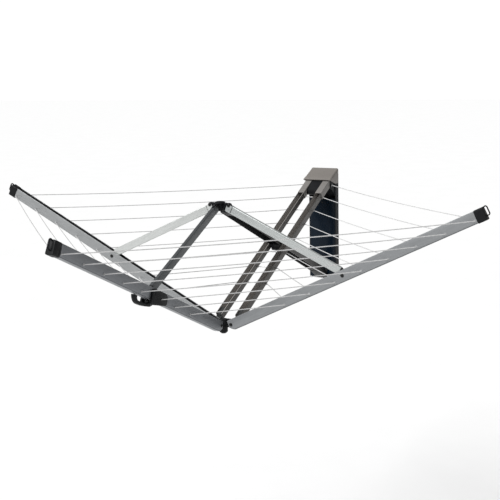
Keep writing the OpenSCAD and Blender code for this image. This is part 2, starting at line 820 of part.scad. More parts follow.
module rear_arm_line() {
    reach = rear_out + grommet_flange_t;
    color("white") rear_tilted() for (k = [1:loop_count - 1])
        cross_bar(rear_hole(k), -rear_hole_depth, line_r, -reach, reach);
}

// A span starts and ends a little clear of the grommets
span_gap = arm_half + grommet_flange_t + 1.6;

module front_span(side) {
    color("white") for (k = [0:loop_count - 1]) {
        r = arm_hole_r(k);
        z = arm_hole_z(k);
        line_piece([side * r, -hub_reach - span_gap, z], [side * span_gap, -hub_reach - r, z]);
    }
}

module wall_span(side) {
    out = rear_out + grommet_flange_t + 1.6;
    color("white") {
        for (k = [1:loop_count - 1])
            line_piece([side * arm_hole_r(k), -hub_reach + span_gap, arm_hole_z(k)],
                [side * out, rear_y(rear_hole(k), -rear_hole_depth),
                    rear_z(rear_hole(k), -rear_hole_depth)]);
        line_piece([side * arm_hole_r(0), -hub_reach + span_gap, arm_hole_z(0)],
            [side * (cheek_out + 3), anchor_y, anchor_z]);
    }
}

wall_plate();
wall_cover();
top_hood();
pivot_bracket();
pivot_axle();
lower_bumper();
cover_screws();
line_anchors();
rear_channel(-1);  // left_rear_channel
rear_channel(1);  // right_rear_channel
socket(-1);  // left_socket
socket(1);  // right_socket
socket_block();
scissor_axle();
scissor_caps();
rear_end_fittings();
rear_hub_pin();
rear_grommets();
scissor_beam();
beam_head();
scissor_bush();
beam_foot();
foot_pad();
hub_body();
hub_pins();
crown_body();
crown_pins();
arm_channel(LEFT);  // left_arm
arm_channel(RIGHT);  // right_arm
arm_channel(FRONT);  // front_arm
end_cap(LEFT);  // left_end_cap
end_cap(RIGHT);  // right_end_cap
end_cap(FRONT);  // front_end_cap
arm_grommets(LEFT);  // left_grommets
arm_grommets(RIGHT);  // right_grommets
arm_grommets(FRONT);  // front_grommets
foot_pin(LEFT);  // left_foot_pin
foot_pin(RIGHT);  // right_foot_pin
foot_pin(FRONT);  // front_foot_pin
latch_housing();
latch_spring();
handle_pin();
latch_bolt();
release_handle();
strut_bar(LEFT);  // left_strut
strut_bar(RIGHT);  // right_strut
strut_bar(FRONT);  // front_strut
strut_ends(LEFT);  // left_strut_ends
strut_ends(RIGHT);  // right_strut_ends
strut_ends(FRONT);  // front_strut_ends
arm_line(LEFT);  // left_arm_line
arm_line(RIGHT);  // right_arm_line
arm_line(FRONT);  // front_arm_line
rear_arm_line();
front_span(-1);  // left_front_line
front_span(1);  // front_right_line
wall_span(-1);  // left_wall_line
wall_span(1);  // right_wall_line
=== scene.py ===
import json
import math

import bpy
from mathutils import Matrix, Vector

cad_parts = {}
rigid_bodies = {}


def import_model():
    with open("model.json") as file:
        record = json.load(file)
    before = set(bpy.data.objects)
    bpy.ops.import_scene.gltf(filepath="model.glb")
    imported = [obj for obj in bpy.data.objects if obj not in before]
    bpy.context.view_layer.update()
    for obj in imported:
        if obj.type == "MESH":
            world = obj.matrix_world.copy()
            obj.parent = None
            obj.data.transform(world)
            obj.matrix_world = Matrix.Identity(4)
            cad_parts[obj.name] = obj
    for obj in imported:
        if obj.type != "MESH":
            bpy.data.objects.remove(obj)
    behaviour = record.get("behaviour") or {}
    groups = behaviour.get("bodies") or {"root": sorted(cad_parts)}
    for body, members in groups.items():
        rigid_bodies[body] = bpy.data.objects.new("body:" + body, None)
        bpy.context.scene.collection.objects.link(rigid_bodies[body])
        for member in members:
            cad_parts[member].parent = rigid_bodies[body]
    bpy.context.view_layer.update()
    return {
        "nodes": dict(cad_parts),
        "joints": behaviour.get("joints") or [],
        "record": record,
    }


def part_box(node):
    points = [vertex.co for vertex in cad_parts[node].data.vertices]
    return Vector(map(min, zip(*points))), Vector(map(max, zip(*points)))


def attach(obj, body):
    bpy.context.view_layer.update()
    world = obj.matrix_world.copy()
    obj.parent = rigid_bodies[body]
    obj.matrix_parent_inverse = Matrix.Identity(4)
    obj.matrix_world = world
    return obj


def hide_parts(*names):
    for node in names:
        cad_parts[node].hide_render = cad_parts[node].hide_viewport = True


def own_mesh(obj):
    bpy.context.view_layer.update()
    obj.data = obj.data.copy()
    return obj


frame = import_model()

# ---------------------------------------------------------------- the frame

MM = 0.001
JOINTS = {joint["name"]: joint for joint in frame["joints"]}
COUPLED = {c["joint"]: c["ratio"] for c in frame["record"]["behaviour"]["couplings"]
           if c["follows"] == "fold"}
FOLD_ANGLE = math.radians(JOINTS["fold"]["range_deg"][1])


def joint_place(name):
    return Vector(JOINTS[name]["pos_m"])


WALL_PIVOT = joint_place("fold")
HUB_END = joint_place("hub_level")
SCISSOR = joint_place("scissor_turn")
PINS = {"right": joint_place("right_arm_lift"), "left": joint_place("left_arm_lift"),
        "front": joint_place("front_arm_lift")}
CROWN_PINS = {side: joint_place(side + "_strut_turn") for side in PINS}
PIVOT_RADIUS = PINS["right"].x
HUB = Vector((0, PINS["right"].y, PINS["right"].z))
CROWN = Vector((0, HUB.y, CROWN_PINS["right"].z))
REAR_DROP = HUB.z - HUB_END.z
STRUT = (SCISSOR - HUB_END).length
OPEN = math.atan2(WALL_PIVOT.z - HUB_END.z, WALL_PIVOT.y - HUB_END.y)
REAR_TILT = math.radians(1.2)
STRUT_TILT = math.radians(2)
STRUT_LEVEL = 287 * MM
TURN = {"right": 0.0, "left": math.pi, "front": -math.pi / 2, "wall": math.pi / 2}


def swung(angle, axis, about):
    """A turn by an angle about an axis through a point."""
    return (Matrix.Translation(about) @ Matrix.Rotation(angle, 4, Vector(axis))
            @ Matrix.Translation(-about))


def folded(body):
    """Where a body goes, from rest, when the airer is folded."""
    for name, joint in JOINTS.items():
        if joint["child"] != body or joint["type"] != "hinge":
            continue
        ratio = 1.0 if name == "fold" else COUPLED.get(name, 0.0)
        turn = swung(ratio * FOLD_ANGLE, joint["axis"], Vector(joint["pos_m"]))
        return folded(joint["parent"]) @ turn
    return Matrix.Identity(4)


def arm_frame(side):
    """x along the arm from its hub pin, y across it, z above it."""
    return (Matrix.Translation(PINS[side]) @ Matrix.Rotation(TURN[side], 4, "Z")
            @ Matrix.Rotation(-OPEN, 4, "Y"))


def strut_frame(side):
    return (Matrix.Translation(CROWN_PINS[side]) @ Matrix.Rotation(TURN[side], 4, "Z")
            @ Matrix.Rotation(OPEN, 4, "Y"))


def strut_tilted(side):
    """The strut's tube leans a little across the line between its pins."""
    level = Matrix.Translation((STRUT_LEVEL, 0, 0))
    return (strut_frame(side) @ level @ Matrix.Rotation(-STRUT_TILT, 4, "Y")
            @ level.inverted())


def rear_frame():
    """x along the line from the hub-end pin to the wall pivot."""
    return (Matrix.Translation(HUB_END) @ Matrix.Rotation(TURN["wall"], 4, "Z")
            @ Matrix.Rotation(-OPEN, 4, "Y"))


def about_scissor(base, angle):
    shift = Matrix.Translation((STRUT, 0, 0))
    return base @ shift @ Matrix.Rotation(angle, 4, "Y") @ shift.inverted()


def rear_tilted():
    return about_scissor(rear_frame(), REAR_TILT)


def beam_tilted():
    top = HUB_END + Vector((0, 0, 2 * STRUT * math.sin(OPEN)))
    base = (Matrix.Translation(top) @ Matrix.Rotation(TURN["wall"], 4, "Z")
            @ Matrix.Rotation(OPEN, 4, "Y"))
    return about_scissor(base, -REAR_TILT)


# ---------------------------------------------------------------- mesh tools

def arc(x, y, r, start, end, steps=8):
    """Points of an arc, angles in degrees."""
    angles = [math.radians(start + (end - start) * i / steps) for i in range(steps + 1)]
    return [(x + r * math.cos(a), y + r * math.sin(a)) for a in angles]


def round_rect(x0, y0, x1, y1, r, steps=6):
    return (arc(x1 - r, y0 + r, r, -90, 0, steps) + arc(x1 - r, y1 - r, r, 0, 90, steps)
            + arc(x0 + r, y1 - r, r, 90, 180, steps) + arc(x0 + r, y0 + r, r, 180, 270, steps))


def clean(outline):
    """The outline without repeated points, turning anticlockwise."""
    kept = []
    for point in outline:
        if not kept or math.dist(point, kept[-1]) > 1e-4:
            kept.append(tuple(point))
    if math.dist(kept[0], kept[-1]) <= 1e-4:
        kept.pop()
    area = sum(a[0] * b[1] - a[1] * b[0] for a, b in zip(kept, kept[1:] + kept[:1]))
    return kept if area > 0 else kept[::-1]


def inset(outline, amount):
    """The outline moved inwards by an amount, corner by corner."""
    moved = []
    count = len(outline)
    for i, point in enumerate(outline):
        before, after = outline[i - 1], outline[(i + 1) % count]
        a = Vector((point[0] - before[0], point[1] - before[1])).normalized()
        b = Vector((after[0] - point[0], after[1] - point[1])).normalized()
        normal = Vector((-(a.y + b.y), a.x + b.x))
        if normal.length < 1e-6:
            normal = Vector((-a.y, a.x))
        normal.normalize()
        stretch = min(1 / max(normal.dot(Vector((-a.y, a.x))), 0.4), 2.0)
        moved.append((point[0] + normal.x * amount * stretch,
                      point[1] + normal.y * amount * stretch))
    return moved


class Shape:
    """Collects vertices in mm and faces, and makes one mesh piece of them."""

    def __init__(self):
        self.points = []
        self.faces = []

    def ring(self, points):
        start = len(self.points)
        self.points.extend(Vector(p) for p in points)
        return list(range(start, start + len(points)))

    def bridge(self, a, b):
        for i in range(len(a)):
            j = (i + 1) % len(a)
            self.faces.append((a[i], a[j], b[j], b[i]))

    def cap(self, ring, flip=False):
        self.faces.append(tuple(reversed(ring)) if flip else tuple(ring))

    def stack(self, rings, matrix=Matrix.Identity(4)):
        """Joins rings of the same length, one after another, with a cap at each end."""
        made = [self.ring([matrix @ Vector(p) for p in ring]) for ring in rings]
        for a, b in zip(made, made[1:]):
            self.bridge(a, b)
        self.cap(made[0], flip=True)
        self.cap(made[-1])

    def take(self, other, matrix):
        """Adds another shape's mesh, moved by a matrix in mm."""
        offset = len(self.points)
        self.points.extend(matrix @ p for p in other.points)
        self.faces.extend(tuple(i + offset for i in face) for face in other.faces)

    def piece(self, name, matrix, material, smooth=35, inside=None):
        """Makes the mesh; inside is (material, test) for faces whose centre passes a test."""
        mesh = bpy.data.meshes.new(name)
        place = matrix @ Matrix.Scale(MM, 4)
        mesh.from_pydata([place @ p for p in self.points], [], self.faces)
        mesh.materials.append(material)
        if inside:
            mesh.materials.append(inside[0])
            back = place.inverted()
            for polygon in mesh.polygons:
                if inside[1](back @ polygon.center):
                    polygon.material_index = 1
        mesh.shade_smooth()
        mesh.set_sharp_from_angle(angle=math.radians(smooth))
        piece = bpy.data.objects.new(name, mesh)
        bpy.context.scene.collection.objects.link(piece)
        return piece


BEVEL_STEPS = 3


def soft_rings(outline, low, high, bevel):
    """Rings of an extruded outline whose two rims are rounded: (x, y, height)."""
    outline = clean(outline)
    rings = []
    for i in range(BEVEL_STEPS + 1):
        a = math.pi / 2 * i / BEVEL_STEPS
        edge = inset(outline, bevel * (1 - math.sin(a)))
        rings.append([(x, y, low + bevel * (1 - math.cos(a))) for x, y in edge])
    for i in range(BEVEL_STEPS, -1, -1):
        a = math.pi / 2 * i / BEVEL_STEPS
        edge = inset(outline, bevel * (1 - math.sin(a)))
        rings.append([(x, y, high - bevel * (1 - math.cos(a))) for x, y in edge])
    return rings


# An outline drawn as (along, up) and extruded across, or drawn as (across, up) and along
ACROSS = Matrix(((1, 0, 0, 0), (0, 0, -1, 0), (0, 1, 0, 0), (0, 0, 0, 1)))
ALONG = Matrix(((0, 0, 1, 0), (1, 0, 0, 0), (0, 1, 0, 0), (0, 0, 0, 1)))


def add_prism(shape, outline, low, high, bevel, place=ACROSS):
    shape.stack(soft_rings(outline, low, high, bevel), place)


def add_lathe(shape, profile, matrix=Matrix.Identity(4), steps=32, closed=False):
    """Turns a profile of (radius, height) about z. A closed profile makes a ring."""
    rings = []
    for i in range(steps):
        a = 2 * math.pi * i / steps
        rings.append([(r * math.cos(a), r * math.sin(a), h) for r, h in profile])
    made = [shape.ring([matrix @ Vector(p) for p in ring]) for ring in rings]
    count = len(profile)
    last = count if closed else count - 1
    for i in range(steps):
        a, b = made[i], made[(i + 1) % steps]
        for j in range(last):
            k = (j + 1) % count
            shape.faces.append((a[j], b[j], b[k], a[k]))
    if not closed:
        shape.cap([ring[0] for ring in made], flip=True)
        shape.cap([ring[-1] for ring in made])


def add_tube(shape, path, radius, sides, flat=1.0):
    """A bar along a path of points; flat below 1 makes it an oval."""
    path = [Vector(p) for p in path]
    count = len(path)
    rings = []
    normal = None
    for i, point in enumerate(path):
        before = path[max(i - 1, 0)]
        after = path[min(i + 1, count - 1)]
        tangent = (after - before).normalized()
        if normal is None:
            normal = tangent.orthogonal().normalized()
            if abs(tangent.y) < 0.99:
                normal = tangent.cross(Vector((0, 1, 0))).normalized()
        normal = (normal - tangent * normal.dot(tangent)).normalized()
        side = tangent.cross(normal)
        rings.append([point + (normal * math.cos(a) * flat + side * math.sin(a)) * radius
                      for a in (2 * math.pi * j / sides for j in range(sides))])
    shape.stack(rings)


def bar_across(s, v, w, sign):
    """Places a lathe profile across an arm: its heights run from w towards +-sign."""
    turn = -math.pi / 2 if sign > 0 else math.pi / 2
    return Matrix.Translation((s, w, v)) @ Matrix.Rotation(turn, 4, "X")


# ---------------------------------------------------------------- materials

class Finish:
    """A material under construction: nodes are made and linked in one line each."""

    def __init__(self, name, color, rough, metallic=0.0):
        self.material = bpy.data.materials.new(name)
        self.material.use_nodes = True
        self.nodes = self.material.node_tree.nodes
        self.links = self.material.node_tree.links
        self.shader = self.nodes["Principled BSDF"]
        self.color = color
        self.shader.inputs["Base Color"].default_value = (*color, 1)
        self.shader.inputs["Roughness"].default_value = rough
        self.shader.inputs["Metallic"].default_value = metallic
        self.coords = self.nodes.new("ShaderNodeTexCoord").outputs["Object"]
        self.bumps = None

    def stretched(self, euler, stretch):
        """Coordinates drawn out along one direction, for extrusion and brushing lines."""
        node = self.nodes.new("ShaderNodeMapping")
        node.vector_type = "TEXTURE"
        node.inputs["Rotation"].default_value = euler
        node.inputs["Scale"].default_value = (stretch, 1, 1)
        self.links.new(self.coords, node.inputs["Vector"])
        return node.outputs["Vector"]

    def noise(self, scale, detail=3.0, rough=0.5, coords=None):
        node = self.nodes.new("ShaderNodeTexNoise")
        node.inputs["Scale"].default_value = scale
        node.inputs["Detail"].default_value = detail
        node.inputs["Roughness"].default_value = rough
        self.links.new(coords or self.coords, node.inputs["Vector"])
        return node.outputs["Fac"]

    def spread(self, value, low, high, start=0.3, end=0.7):
        node = self.nodes.new("ShaderNodeMapRange")
        node.inputs["From Min"].default_value = start
        node.inputs["From Max"].default_value = end
        node.inputs["To Min"].default_value = low
        node.inputs["To Max"].default_value = high
        self.links.new(value, node.inputs["Value"])
        return node.outputs["Result"]

    def tint(self, value, dark, light):
        """Shifts the base colour between two shades of it."""
        node = self.nodes.new("ShaderNodeMix")
        node.data_type = "RGBA"
        source = self.shader.inputs["Base Color"]
        low, high = node.inputs[6], node.inputs[7]
        for socket, gain in ((low, dark), (high, light)):
            socket.default_value = (*(min(1, c * gain) for c in self.color), 1)
        self.links.new(self.spread(value, 0, 1), node.inputs["Factor"])
        self.links.new(node.outputs[2], source)

    def blend_to(self, value, color):
        """Lays another colour over the base colour where the value is high."""
        node = self.nodes.new("ShaderNodeMix")
        node.data_type = "RGBA"
        source = self.shader.inputs["Base Color"]
        if source.is_linked:
            self.links.new(source.links[0].from_socket, node.inputs[6])
        else:
            node.inputs[6].default_value = (*self.color, 1)
        node.inputs[7].default_value = (*color, 1)
        self.links.new(value, node.inputs["Factor"])
        self.links.new(node.outputs[2], source)

    def rough(self, value, low, high):
        self.links.new(self.spread(value, low, high), self.shader.inputs["Roughness"])

    def bump(self, value, depth, strength=1.0):
        node = self.nodes.new("ShaderNodeBump")
        node.inputs["Distance"].default_value = depth
        node.inputs["Strength"].default_value = strength
        self.links.new(value, node.inputs["Height"])
        if self.bumps is not None:
            self.links.new(self.bumps, node.inputs["Normal"])
        self.bumps = node.outputs["Normal"]
        self.links.new(self.bumps, self.shader.inputs["Normal"])

    def edges(self, low, high, amount):
        """Where the mesh is convex: 0 on flats up to amount on worn edges."""
        point = self.nodes.new("ShaderNodeNewGeometry").outputs["Pointiness"]
        return self.spread(point, 0, amount, low, high)


def anodised(name, color, euler, rough=0.38):
    """Extruded and anodised aluminium, with faint lines along the extrusion."""
    finish = Finish(name, color, rough, 0.4)
    lines = finish.noise(1100, 2, 0.6, finish.stretched(euler, 60))
    clouds = finish.noise(14, 3)
    finish.tint(lines, 0.9, 1.1)
    finish.rough(clouds, rough - 0.05, rough + 0.06)
    finish.bump(lines, 0.00003, 0.6)
    finish.bump(finish.noise(4200, 2), 0.00001, 0.5)
    finish.shader.inputs["Specular IOR Level"].default_value = 0.3
    return finish.material


def moulded(name, color, rough=0.45, worn=None):
    """Moulded plastic with a fine grain, a slight mottle and paler edges."""
    finish = Finish(name, color, rough)
    finish.tint(finish.noise(35, 4), 0.8, 1.25)
    finish.rough(finish.noise(60, 4), rough - 0.07, rough + 0.08)
    finish.bump(finish.noise(2600, 2), 0.00004, 0.6)
    finish.shader.inputs["Specular IOR Level"].default_value = 0.12
    if worn:
        finish.blend_to(finish.edges(0.52, 0.62, 0.5), worn)
    return finish.material


def painted(name, color, rough=0.42, worn=None, shine=0.3):
    """Powder-coated metal with a slight orange peel."""
    finish = Finish(name, color, rough)
    finish.tint(finish.noise(9, 4), 0.94, 1.06)
    finish.rough(finish.noise(25, 3), rough - 0.05, rough + 0.06)
    finish.bump(finish.noise(380, 2), 0.00003, 0.5)
    finish.bump(finish.noise(3000, 1), 0.00001, 0.4)
    finish.shader.inputs["Specular IOR Level"].default_value = shine
    if worn:
        finish.blend_to(finish.edges(0.53, 0.62, 0.5), worn)
    return finish.material


def glossy(name, color):
    """Glossy cover plastic with faint flow marks and hairline scuffs."""
    finish = Finish(name, color, 0.16)
    finish.tint(finish.noise(6, 3), 0.85, 1.2)
    scuffs = finish.noise(220, 5, 0.7, finish.stretched((0, math.pi / 2, 0), 14))
    finish.rough(scuffs, 0.12, 0.26)
    finish.bump(finish.noise(40, 2), 0.00006, 0.3)
    finish.shader.inputs["Specular IOR Level"].default_value = 0.12
    finish.shader.inputs["Coat Weight"].default_value = 0.05
    finish.shader.inputs["Coat Roughness"].default_value = 0.08
    return finish.material


def steel(name, color, rough=0.3):
    """Turned steel: fine rings of tool marks and a cloudy roughness."""
    finish = Finish(name, color, rough, 1.0)
    finish.tint(finish.noise(500, 3), 0.85, 1.1)
    finish.rough(finish.noise(120, 4), rough - 0.08, rough + 0.12)
    finish.bump(finish.noise(3000, 2), 0.00001, 0.5)
    return finish.material


def cord_finish(name, color):
    """Plastic-coated line: smooth, slightly mottled, with dull patches."""
    finish = Finish(name, color, 0.4)
    finish.tint(finish.noise(90, 3), 0.86, 1.1)
    finish.rough(finish.noise(200, 3), 0.32, 0.55)
    finish.bump(finish.noise(1400, 2), 0.00004, 0.5)
    finish.shader.inputs["Coat Weight"].default_value = 0.2
    return finish.material


def rubber(name, color):
    """Matt rubber with a coarse, uneven grain."""
    finish = Finish(name, color, 0.75)
    finish.tint(finish.noise(80, 4), 0.8, 1.3)
    finish.rough(finish.noise(300, 3), 0.65, 0.85)
    finish.bump(finish.noise(1800, 3), 0.00006, 0.8)
    return finish.material


# Painted light: the three arms are one anodised metal, but each gets its own base tone, darker or
# lighter, standing in for how the light falls on that side.
ARM_PAINTED_LIGHT_TONE = {"front": (0.18, 0.188, 0.2), "right": (0.23, 0.238, 0.245),
            "left": (0.30, 0.308, 0.312)}
# Painted light: the struts are one metal too, given a tone per side for how the light falls on it;
# the front strut is near black as painted shade.
STRUT_PAINTED_LIGHT_TONE = {"front": (0.085, 0.09, 0.094), "right": (0.44, 0.46, 0.455),
              "left": (0.52, 0.535, 0.525)}
ARM_PAINTED_LIGHT_FINISH = {side: anodised(side + "_anodised", ARM_PAINTED_LIGHT_TONE[side], (0, -OPEN, TURN[side]))
              for side in PINS}
STRUT_PAINTED_LIGHT_FINISH = {side: anodised(side + "_strut_anodised", STRUT_PAINTED_LIGHT_TONE[side],
                               (0, OPEN, TURN[side]), 0.34) for side in PINS}
# Painted light on the rear channels: one anodised metal as two copies, the outside darkened as
# painted shade and the shaded inside of the channel lightened as painted light.
REAR_SHADED_FINISH = anodised("rear_anodised_painted_shade", (0.06, 0.056, 0.052), (0, -OPEN, TURN["wall"]), 0.4)
REAR_INSIDE_PAINTED_LIGHT = anodised("rear_inside_painted_light", (0.36, 0.345, 0.33), (0, -OPEN, TURN["wall"]), 0.45)
BEAM_FINISH = anodised("beam_anodised", (0.035, 0.034, 0.033), (0, OPEN, TURN["wall"]), 0.42)
BLACK = moulded("black_moulding", (0.0055, 0.006, 0.007), worn=(0.025, 0.026, 0.028))
DARK = moulded("dark_moulding", (0.022, 0.024, 0.024), worn=(0.06, 0.06, 0.06))
SOCKET = painted("socket_paint", (0.17, 0.162, 0.153), worn=(0.24, 0.23, 0.22))
HOOD = painted("hood_paint", (0.18, 0.166, 0.153), 0.45, worn=(0.26, 0.245, 0.23))
PLATE = painted("plate_paint", (0.006, 0.008, 0.010), 0.5, (0.03, 0.032, 0.034), 0.06)
COVER = glossy("cover_gloss", (0.0022, 0.006, 0.012))
STEEL = steel("turned_steel", (0.55, 0.55, 0.55))
DARK_STEEL = steel("blackened_steel", (0.03, 0.03, 0.03), 0.42)
EYELET = moulded("eyelet_moulding", (0.33, 0.335, 0.34), 0.35)
# Painted shade: the inside of the arm and beam channels is near black to stand for the shade deep
# in the channel, not a finish of its own.
CHANNEL_PAINTED_SHADE = painted("channel_painted_shade", (0.010, 0.010, 0.011), 0.55)
LINE = cord_finish("coated_line", (0.55, 0.55, 0.55))
RUBBER = rubber("black_rubber", (0.009, 0.009, 0.009))

SLOT_FINISH = {
    "arm_grey": BLACK, "rear_grey": REAR_SHADED_FINISH, "socket_grey": SOCKET,
    "strut_silver": BLACK, "beam_grey": BEAM_FINISH, "black_plastic": BLACK,
    "dark_plastic": DARK, "steel": STEEL, "dark_steel": DARK_STEEL, "plate_dark": PLATE,
    "cover_navy": COVER, "hood_taupe": HOOD, "rubber_black": RUBBER, "eyelet": EYELET,
    "line": LINE}
SLOT_OF = {row["node"]: row["material_slot"] for row in frame["record"]["subparts"]}

for node, thing in frame["nodes"].items():
    finish = SLOT_FINISH[SLOT_OF[node]]
    side = node.split("_")[0]
    # Each arm and strut node takes its side's copy, whose base tone holds painted light.
    if node == side + "_arm":
        finish = ARM_PAINTED_LIGHT_FINISH[side]
    if node == side + "_strut":
        finish = STRUT_PAINTED_LIGHT_FINISH[side]
    thing.data.materials.clear()
    thing.data.materials.append(finish)


# ---------------------------------------------------------------- parts in detail

BODY_OF = {node: body for body, nodes in frame["record"]["behaviour"]["bodies"].items()
           for node in nodes}


def stands_for(piece, *nodes):
    """Rides with and replaces the named CAD nodes."""
    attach(piece, BODY_OF[nodes[0]])
    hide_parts(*nodes)
    return piece


def rounded(outline, r, steps=4):
    """The outline with each corner replaced by an arc-like curve of about radius r."""
    made = []
    count = len(outline)
    for i, point in enumerate(outline):
        here = Vector(point)
        before, after = Vector(outline[i - 1]), Vector(outline[(i + 1) % count])
        cut = min(r, (before - here).length * 0.45, (after - here).length * 0.45)
        a = here + (before - here).normalized() * cut
        b = here + (after - here).normalized() * cut
        for j in range(steps + 1):
            t = j / steps
            made.append(tuple(a * (1 - t) ** 2 + here * 2 * t * (1 - t) + b * t * t))
    return made


def add_pin(shape, s, v, radius, end, head=None, head_t=2.0):
    """A pin across an arm at (s, v), with a domed head on each end if it has heads."""
    for sign in (-1, 1):
        profile = [(radius, 0), (radius, end)]
        if head:
            profile = [(radius, 0), (radius, end), (head - 0.4, end), (head, end + 0.4),
                       (head, end + head_t * 0.5), (head - 0.7, end + head_t * 0.85),
                       (head * 0.45, end + head_t)]
        else:
            profile = [(radius, 0), (radius, end - 0.6), (radius - 0.6, end)]
        add_lathe(shape, profile, bar_across(s, v, 0, sign), 28)


# Arms

ARM_BELOW, ARM_START, CAP_START = 22.0, -10.0, 935.0
ARM_SIDE = ([(13, -8), (13, -4), (12.88, 0), (12.6, 3)] + arc(9.5, 16.1, 0.9, 0, 180, 6)
            + [(10.2, 1), (10.6, -6)] + arc(7.6, -16.6, 3, 0, -90, 4))
ARM_OUTLINE = (ARM_SIDE + [(-x, y) for x, y in reversed(ARM_SIDE)]
               + arc(-7, -16, 6, 180, 270, 8) + arc(7, -16, 6, 270, 360, 8))


def in_arm_channel(point):
    """Whether a point of an arm's surface is on the inside of its channel."""
    limit = 11.8 if point.z < -5 else 11.8 - (point.z + 5) * 0.105
    return abs(point.y) < limit and -20.5 < point.z < 15.9


def arm_start(v):
    """The arm's end is cut off at a slant below its pin."""
    return max(ARM_START, 8 - (v + ARM_BELOW) * 1.6)


def make_arm(side):
    shape = Shape()
    outline = clean(ARM_OUTLINE)
    soft = inset(outline, 0.35)
    rings = [[(x, y, arm_start(y)) for x, y in soft],
             [(x, y, arm_start(y) + 0.35) for x, y in outline]]
    for s in (30, 200, 400, 600, 800, CAP_START - 0.3):
        rings.append([(x, y, s) for x, y in outline])
    shape.stack(rings, ALONG)
    # Faces inside the channel take the painted shade.
    piece = shape.piece(side + "_channel", arm_frame(side), ARM_PAINTED_LIGHT_FINISH[side],
                        inside=(CHANNEL_PAINTED_SHADE, in_arm_channel))
    stands_for(piece, side + "_arm")


def make_end_cap(side):
    shape = Shape()
    end = CAP_START + 30
    add_prism(shape, rounded([(-13.8, -23.5), (13.8, -23.5), (12.4, 18.2), (-12.4, 18.2)], 5),
              CAP_START, end, 1.6, ALONG)
    add_prism(shape, rounded([(-14.1, -21), (14.1, -21), (13.4, 4), (-13.4, 4)], 4),
              CAP_START + 4, CAP_START + 7, 0.6, ALONG)
    path = ([(end - 4, -11)] + arc(971, -6, 5, -90, 0, 6) + arc(970, 12, 6, 0, 75, 7)
            + [(end - 4, 14.6)])
    add_tube(shape, [(s, 0, v) for s, v in path], 3, 14, flat=0.66)
    for sign in (-1, 1):
        add_prism(shape, round_rect(911, -8.5, 936, 2, 1.5), sign * 8.3 - 1.2, sign * 8.3 + 1.2,
                  0.4)
    stands_for(shape.piece(side + "_cap", arm_frame(side), BLACK), side + "_end_cap")


GROMMET = [(1.8, -2.2), (3.2, -2.2), (3.2, 0), (4.3, 0), (4.4, 0.2), (4.3, 0.55), (3.7, 0.8),
           (2.4, 0.8), (1.9, 0.5)]


def make_grommets(name, matrix, places, node):
    shape = Shape()
    for s, v, w, sign in places:
        add_lathe(shape, GROMMET, bar_across(s, v, w, sign), 20, closed=True)
    stands_for(shape.piece(name, matrix, EYELET), node)


for side in PINS:
    make_arm(side)
    make_end_cap(side)
    make_grommets(side + "_eyelets", arm_frame(side),
                  [(929.5 - 100.9 * k, -11.25, sign * 13, sign)
                   for k in range(8) for sign in (-1, 1)], side + "_grommets")
    foot = Shape()
    add_pin(foot, STRUT / MM, 0, 4, 13.2, None if side == "front" else 6, 1.6)
    stands_for(foot.piece(side + "_foot_rivet", arm_frame(side), DARK_STEEL),
               side + "_foot_pin")

make_grommets("rear_eyelets", rear_tilted(),
              [(224 + 95.5 * k, -9.5, sign * w, sign * way) for k in range(7)
               for sign in (-1, 1) for w, way in ((50, 1), (26, -1))], "rear_grommets")

# Struts


LENGTH = STRUT / MM
STRUT_HALF, STRUT_TALL, CHEEK_T = 6.5, 13.25, 1.5


def make_strut(side):
    """The tube, its lower end open, and the fork that its upper end is cut into."""
    shape = Shape()
    section = round_rect(-STRUT_HALF, -STRUT_TALL, STRUT_HALF, STRUT_TALL, 2.2)
    add_prism(shape, section, 14, LENGTH - 16, 0.3, ALONG)
    cheek = arc(-2, 9, 4, 90, 180, 6) + arc(-2, -9, 4, 180, 270, 6) + [(17, -13), (17, 13)]
    for sign in (-1, 1):
        middle = sign * (STRUT_HALF - CHEEK_T / 2)
        add_prism(shape, cheek, middle - CHEEK_T / 2, middle + CHEEK_T / 2, 0.3)
    stands_for(shape.piece(side + "_tube", strut_tilted(side), STRUT_PAINTED_LIGHT_FINISH[side]),
               side + "_strut")


def make_strut_fittings(side):
    """The black plug seen in the fork and the moulded foot on the arm's pin."""
    plug = Shape()
    add_prism(plug, round_rect(-4.9, -11.6, 4.9, 11.6, 1), 15.1, 18, 0.3, ALONG)
    in_mm = Matrix.Scale(1 / MM, 4) @ strut_frame(side).inverted() @ strut_tilted(side)
    shape = Shape()
    shape.take(plug, in_mm @ Matrix.Scale(MM, 4))
    tail = [(LENGTH - 15, -7), (LENGTH - 3, -8), (LENGTH, -8), (LENGTH, 8), (LENGTH - 6, 14),
            (LENGTH - 15.6, 17.6)]
    add_prism(shape, tail, -6.4, 6.4, 0.8)
    add_lathe(shape, [(7.8, -8.2), (8.4, -7.8), (8.4, 7.8), (7.8, 8.2)],
              bar_across(LENGTH, 0, 0, 1), 32)
    stands_for(shape.piece(side + "_fittings", strut_frame(side), BLACK), side + "_strut_ends")


for side in PINS:
    make_strut(side)
    make_strut_fittings(side)

# Hub and crown


def turned(side):
    return Matrix.Rotation(TURN[side], 4, "Z")


def add_tongue(shape, side, outline, half):
    """A lug that reaches out from the middle towards one of the arms."""
    shape.stack(soft_rings(outline, -half, half, 0.8), turned(side) @ ACROSS)


RADIUS = PIVOT_RADIUS / MM
DROP = REAR_DROP / MM

